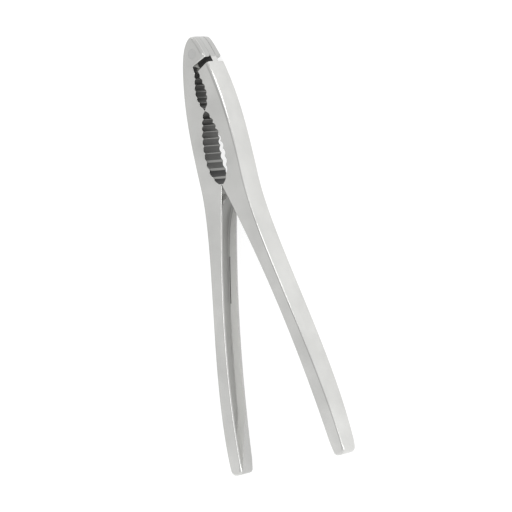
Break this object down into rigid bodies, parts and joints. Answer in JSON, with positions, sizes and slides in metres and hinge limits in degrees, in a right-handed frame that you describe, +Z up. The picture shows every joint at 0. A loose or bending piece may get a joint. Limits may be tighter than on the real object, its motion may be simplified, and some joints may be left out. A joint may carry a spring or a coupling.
{
  "type": "nutcracker",
  "caption": "Hand nutcracker: two channelled lever arms on a fork-and-tongue hinge, with a small and a large grooved nut space between the jaws.",
  "frame": {"origin": "on the surface that the closed tool lies on, at the middle of its length and width", "axes": "+Y along the tool towards the hinged head, +X across towards the tongue arm, +Z up out of the front face, parallel to the hinge axis"},
  "size_m": [0.0576, 0.1756, 0.0109],
  "materials": {
    "arm_metal": "polished plated casting with faint polishing marks, darker in the grooves",
    "pin_metal": "polished flush with the cheeks"
  },
  "bodies": {
    "fork": {"fork_arm": "arm_metal", "pivot_pin": "pin_metal"},
    "tongue": {"tongue_arm": "arm_metal"}
  },
  "joints": [
    {"name": "arm_hinge", "type": "hinge", "parent": "fork", "child": "tongue", "pos_m": [0, 0.08035, 0.00545], "axis": [0, 0, 1], "range_deg": [0, 75]}
  ]
}
